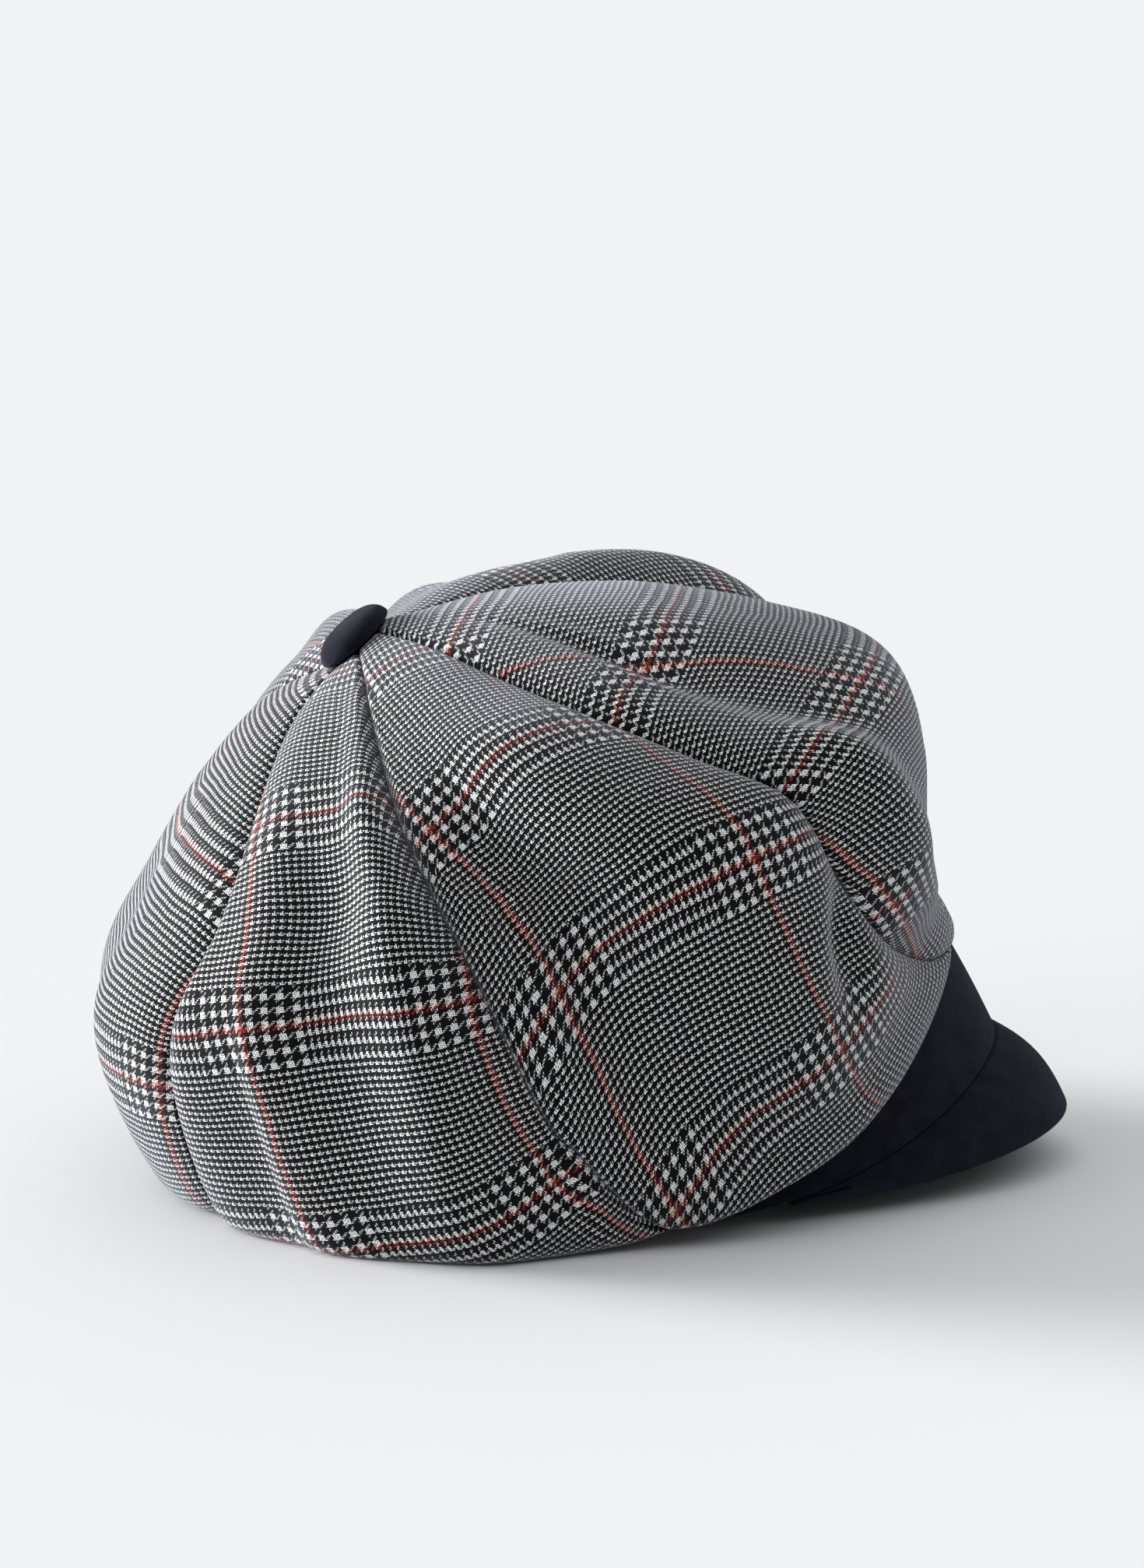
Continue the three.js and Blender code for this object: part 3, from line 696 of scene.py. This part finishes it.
def material(name):
    """A new material with an empty tree of nodes."""
    made = bpy.data.materials.new(name)
    made.use_nodes = True
    made.node_tree.nodes.clear()
    return made, made.node_tree


# The check's repeat in millimetres and in yarns. The broad bands of four light and four dark yarns
# have BAND_PAIRS of them in the warp and in the weft; LEAD sets the bands' middles on zero. The red
# line is twice RED_HALF yarns wide. The twill repeats over TWILL yarns, and the weft is on top
# where its step is over TWILL_UP.
REPEAT = 68.0
REPEAT_YARNS = 128.0
YARN = REPEAT / REPEAT_YARNS
BAND_PAIRS = (8, 6)
PAIR_YARNS = 8.0
LEAD = 32.0
RED_HALF = 2.0
TWILL = 4.0
TWILL_UP = 1.5

# Uneven weaving: rows of noise scale, for each millimetre, and millimetres of drift
DRIFTS = ((0.04, 2.0), (0.8, 0.2))

# A float's height over its length and width, which gives the bump and the painted shade. A group of
# light yarns gives THIN of a yarn to its dark neighbours on each side, and its painted shade is
# lighter where it crosses a light group. The red yarns' painted shade is a little lighter too. The
# wool's fibres are too fine to show, so its fuzz is drawn about 0.3 mm wide.
THIN = 0.25
ROUND_ACROSS = -2.0
ROUND_ALONG = -0.45
FIBRES_PER_MM = 3.2
FIBRE_HEIGHT = 1.6
LIGHT_SHADE_LIFT = 0.35
RED_SHADE_LIFT = 0.13

MATH = "ShaderNodeMath"
NOISE = "ShaderNodeTexNoise"
MIX = "ShaderNodeMix"
VECTOR = "ShaderNodeVectorMath"


def woven_check():
    """Wool twill, two over two, dyed in the yarn and woven as a glen check, then lightly milled.
    The eye sees short floats that add up to a check, and a soft nap over them; the shade in the gaps
    between the yarns is painted into their colour. As in the photo, the broad warp yarns show only
    where they cross the broad weft ones."""
    made, tree = material("woven_wool_glen_check")
    cut = add(tree, "ShaderNodeUVMap", uv_map="cut")["UV"]
    place = cut
    for scale, reach in DRIFTS:
        flat_noise = {"Vector": cut, "Scale": scale, "Detail": 1.0}
        drift = add(tree, NOISE, flat_noise, noise_dimensions="2D")["Color"]
        drift = add(tree, VECTOR, {0: drift, 1: (0.5, 0.5, 0.5)}, operation="SUBTRACT")[0]
        drift = add(tree, VECTOR, {0: drift, "Scale": reach}, operation="SCALE")[0]
        place = add(tree, VECTOR, {0: place, 1: drift}, operation="ADD")[0]
    place = add(tree, VECTOR, {0: place, "Scale": 1 / YARN}, operation="SCALE")[0]
    place = add(tree, VECTOR, {0: place, 1: (LEAD, LEAD, 0.0)}, operation="ADD")[0]
    axes = add(tree, "ShaderNodeSeparateXYZ", {0: place})
    light = linear("FDFEFF")
    dark = linear("171717")
    salmon = linear("F59A8C")
    brick = linear("A93B34")

    # Yarns on both axes: which one, how far across it, and its place in the repeat
    count, within, repeats, bands = [], [], [], []
    for axis, pairs in zip((axes["X"], axes["Y"]), BAND_PAIRS):
        half_band = pairs * PAIR_YARNS / 2
        count.append(add(tree, MATH, {0: axis}, operation="FLOOR")[0])
        within.append(add(tree, MATH, {0: axis}, operation="FRACT")[0])
        repeat = add(tree, MATH, {0: axis, 1: REPEAT_YARNS}, operation="FLOORED_MODULO")[0]
        repeats.append(add(tree, MATH, {0: repeat, 1: half_band - LEAD}, operation="ADD")[0])
        in_band = {0: repeats[-1], 1: half_band, 2: half_band}
        bands.append(add(tree, MATH, in_band, operation="COMPARE")[0])

    # Colours of the yarns: four and four in a broad band, two and two elsewhere
    crossing = add(tree, MATH, {0: bands[0], 1: bands[1]}, operation="MULTIPLY")[0]
    colour, pale, reds = [], [], []
    for repeat, pairs, broad in zip(repeats, BAND_PAIRS, (crossing, bands[1])):
        half = add(tree, MATH, {0: broad, 1: 2.0, 2: 2.0}, operation="MULTIPLY_ADD")[0]
        both = add(tree, MATH, {0: half, 1: 2.0}, operation="MULTIPLY")[0]
        phase = add(tree, MATH, {0: repeat, 1: both}, operation="FLOORED_MODULO")[0]
        centre = add(tree, MATH, {0: half, 1: 1.5}, operation="MULTIPLY")[0]
        reach = add(tree, MATH, {0: half, 1: 0.5, 2: -THIN}, operation="MULTIPLY_ADD")[0]
        pale.append(add(tree, MATH, {0: phase, 1: centre, 2: reach}, operation="COMPARE")[0])
        in_middle = {0: repeat, 1: pairs * PAIR_YARNS / 2, 2: RED_HALF}
        reds.append(add(tree, MATH, in_middle, operation="COMPARE")[0])
        plain = add(tree, MIX, {0: pale[-1], 6: dark, 7: light}, data_type="RGBA")[2]
        dyed = add(tree, MIX, {0: pale[-1], 6: brick, 7: salmon}, data_type="RGBA")[2]
        colour.append(add(tree, MIX, {0: reds[-1], 6: plain, 7: dyed}, data_type="RGBA")[2])

    # Twill: which yarn is on top, and the height of its float
    step = add(tree, MATH, {0: count[0], 1: count[1]}, operation="ADD")[0]
    step = add(tree, MATH, {0: step, 1: TWILL}, operation="FLOORED_MODULO")[0]
    weft_up = add(tree, MATH, {0: step, 1: TWILL_UP}, operation="GREATER_THAN")[0]
    seen = add(tree, MIX, {0: weft_up, 6: colour[0], 7: colour[1]}, data_type="RGBA")[2]
    across = add(tree, MIX, {0: weft_up, 2: within[0], 3: within[1]})[0]
    run = add(tree, MIX, {0: weft_up, 2: within[1], 3: within[0]})[0]
    first = add(tree, MATH, {0: weft_up, 1: -2.0, 2: step}, operation="MULTIPLY_ADD")[0]
    run = add(tree, MATH, {0: run, 1: first}, operation="ADD")[0]
    across = add(tree, MATH, {0: across, 1: 0.5}, operation="SUBTRACT")[0]
    across = add(tree, MATH, {0: across, 1: across}, operation="MULTIPLY")[0]
    run = add(tree, MATH, {0: run, 1: 1.0}, operation="SUBTRACT")[0]
    run = add(tree, MATH, {0: run, 1: 2.0}, operation="POWER")[0]
    height = add(tree, MATH, {0: across, 1: ROUND_ACROSS, 2: 1.0}, operation="MULTIPLY_ADD")[0]
    height = add(tree, MATH, {0: run, 1: ROUND_ALONG, 2: height}, operation="MULTIPLY_ADD")[0]
    fibres = {"Vector": cut, "Scale": FIBRES_PER_MM, "Detail": 3.0}
    fibre = add(tree, NOISE, fibres, noise_dimensions="2D")[0]
    fibre = add(tree, MATH, {0: fibre, 1: 0.5}, operation="SUBTRACT")[0]
    height = add(tree, MATH, {0: fibre, 1: FIBRE_HEIGHT, 2: height}, operation="MULTIPLY_ADD")[0]

    # Painted shade: the colour is darkened in the gaps between the yarns and at the ends of their
    # floats, less where two light yarns cross and on the red yarns
    lights = add(tree, MATH, {0: pale[0], 1: pale[1]}, operation="MULTIPLY")[0]
    painted_shade_height = add(tree, MATH, {0: lights, 1: LIGHT_SHADE_LIFT, 2: height}, operation="MULTIPLY_ADD")[0]
    red = add(tree, MATH, {0: reds[0], 1: reds[1]}, operation="MAXIMUM")[0]
    painted_shade_height = add(tree, MATH, {0: red, 1: RED_SHADE_LIFT, 2: painted_shade_height}, operation="MULTIPLY_ADD")[0]
    painted_shade = add(tree, "ShaderNodeMapRange", {
        "Value": painted_shade_height, "From Min": 0.8, "From Max": 0.98, "To Min": 0.04, "To Max": 1.0,
    })[0]
    gaps = {0: 1.0, 6: seen, 7: painted_shade}
    seen = add(tree, MIX, gaps, data_type="RGBA", blend_type="MULTIPLY")[2]
    bump = add(tree, "ShaderNodeBump", {"Strength": 0.6, "Distance": 0.0002, "Height": height})[0]
    shader = add(tree, "ShaderNodeBsdfPrincipled", {
        "Base Color": seen, "Roughness": 0.9, "Normal": bump, "Sheen Weight": 0.7,
        "Sheen Roughness": 0.3, "Sheen Tint": linear("DDE6F5"), "Specular IOR Level": 0.15,
    })[0]
    add(tree, "ShaderNodeOutputMaterial", {0: shader})
    return made


# Felt: tufts of its nap and mottled patches, for each millimetre. A felt's fibres are too fine to
# show, so the nap is drawn as tufts of about 0.7 mm.
NAP_PER_MM = 1.4
MOTTLE_PER_MM = 0.16


def milled_felt(name, base_code, high_code):
    """Wool felt, milled from loose fibres and dyed: matt, mottled, with a short nap that
    catches a bluish light at its edges."""
    made, tree = material(name)
    place = add(tree, "ShaderNodeTexCoord")["Object"]
    fine = {"Vector": place, "Scale": NAP_PER_MM / MM, "Detail": 4.0, "Roughness": 0.65}
    nap = add(tree, NOISE, fine)[0]
    patches = {"Vector": place, "Scale": MOTTLE_PER_MM / MM, "Detail": 3.0}
    mottle = add(tree, NOISE, patches)[0]
    both = add(tree, MATH, {0: nap, 1: mottle}, operation="MULTIPLY")[0]
    tone = add(tree, "ShaderNodeMapRange", {"Value": both, "From Min": 0.12, "From Max": 0.4})[0]
    tones = {0: tone, 6: linear(base_code), 7: linear(high_code)}
    colour = add(tree, MIX, tones, data_type="RGBA")[2]
    bump = add(tree, "ShaderNodeBump", {"Strength": 0.8, "Distance": 0.0004, "Height": nap})[0]
    shader = add(tree, "ShaderNodeBsdfPrincipled", {
        "Base Color": colour, "Roughness": 0.95, "Normal": bump, "Sheen Weight": 0.12,
        "Sheen Roughness": 0.5, "Sheen Tint": linear("A8B4D0"), "Specular IOR Level": 0.1,
    })[0]
    add(tree, "ShaderNodeOutputMaterial", {0: shader})
    return made


wool = woven_check()
felt = milled_felt("milled_navy_felt", "0B0C11", "1B1E29")

for number in range(len(SEAMS)):
    cloth = crown_panel(number)
    cloth.data.materials.append(wool)
    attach(cloth, "root")
    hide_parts(f"crown_panel_{number + 1}")
for make, node_name in ((head_band, "head_band"), (peak, "peak"), (button, "button")):
    piece = make()
    piece.data.materials.append(felt)
    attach(piece, "root")
    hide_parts(node_name)


# Camera: at the photograph's angle, with the same frame. Distances in millimetres, AIM in pixels:
# how far the picture's middle lies beside and above the point that the camera stands off from.
CAMERA_AZIMUTH = math.radians(-4)
CAMERA_ELEVATION = math.radians(15)
CAMERA_DISTANCE = 1600.0
FOCAL_PIXELS = 6800.0
FRAME_HEIGHT_PIXELS = 2014
SENSOR = 36.0
AIM = (-5.0, 479.0)
AIM_FORWARD = 18.0
back = Vector((
    math.sin(CAMERA_AZIMUTH) * math.cos(CAMERA_ELEVATION),
    -math.cos(CAMERA_AZIMUTH) * math.cos(CAMERA_ELEVATION),
    math.sin(CAMERA_ELEVATION),
))
right = Vector((math.cos(CAMERA_AZIMUTH), math.sin(CAMERA_AZIMUTH), 0))
up = back.cross(right)
eye = (Vector((AIM_FORWARD, 0, 0)) + Vector(SHIFT) + back * CAMERA_DISTANCE) * MM
ahead = (-back * FOCAL_PIXELS + right * AIM[0] + up * AIM[1]).normalized()
lens = bpy.data.cameras.new("camera")
lens.lens = FOCAL_PIXELS * SENSOR / FRAME_HEIGHT_PIXELS
lens.sensor_width = SENSOR
lens.sensor_fit = "AUTO"
camera = bpy.data.objects.new("camera", lens)
camera.location = eye
camera.rotation_mode = "QUATERNION"
camera.rotation_quaternion = ahead.to_track_quat("-Z", "Y")
bpy.context.scene.collection.objects.link(camera)
bpy.context.scene.camera = camera

# Pale floor that runs on without an end
FLOOR_HALF = 60.0
floor_mesh = bpy.data.meshes.new("floor")
corners = [(-1, -1), (1, -1), (1, 1), (-1, 1)]
floor_mesh.from_pydata([(x * FLOOR_HALF, y * FLOOR_HALF, 0) for x, y in corners], [], [(0, 1, 2, 3)])
floor = bpy.data.objects.new("floor", floor_mesh)
bpy.context.scene.collection.objects.link(floor)
paper, paper_tree = material("pale_floor")
paper_shader = add(paper_tree, "ShaderNodeBsdfPrincipled", {
    "Base Color": linear("E6E8E9"), "Roughness": 1.0, "Specular IOR Level": 0.0,
})[0]
add(paper_tree, "ShaderNodeOutputMaterial", {0: paper_shader})
floor.data.materials.append(paper)

# Soft studio light: an even one from all round, a very broad one from above, a weak one from the
# front left and a strong low one from the left, a little behind. Rows: where from, strength, and
# spread in degrees.
AMBIENT = 0.27
LAMPS = {
    "above": ((0.1, 0.1, 1.0), 1.35, 110),
    "front": ((-0.8, -0.5, 0.45), 0.35, 30),
    "key": ((-0.95, 0.36, 0.1), 9.6, 34),
}
world = bpy.data.worlds.new("studio")
world.use_nodes = True
world.node_tree.nodes.clear()
sky = add(world.node_tree, "ShaderNodeBackground", {"Color": linear("FBFCFC"), "Strength": AMBIENT})[0]
add(world.node_tree, "ShaderNodeOutputWorld", {0: sky})
bpy.context.scene.world = world
for lamp_name, (lamp_from, strength, spread) in LAMPS.items():
    lamp = bpy.data.lights.new(lamp_name, "SUN")
    lamp.energy = strength
    lamp.angle = math.radians(spread)
    hung = bpy.data.objects.new(lamp_name, lamp)
    hung.rotation_mode = "QUATERNION"
    hung.rotation_quaternion = (-Vector(lamp_from)).to_track_quat("-Z", "Y")
    bpy.context.scene.collection.objects.link(hung)
bpy.context.scene.view_settings.view_transform = "Standard"
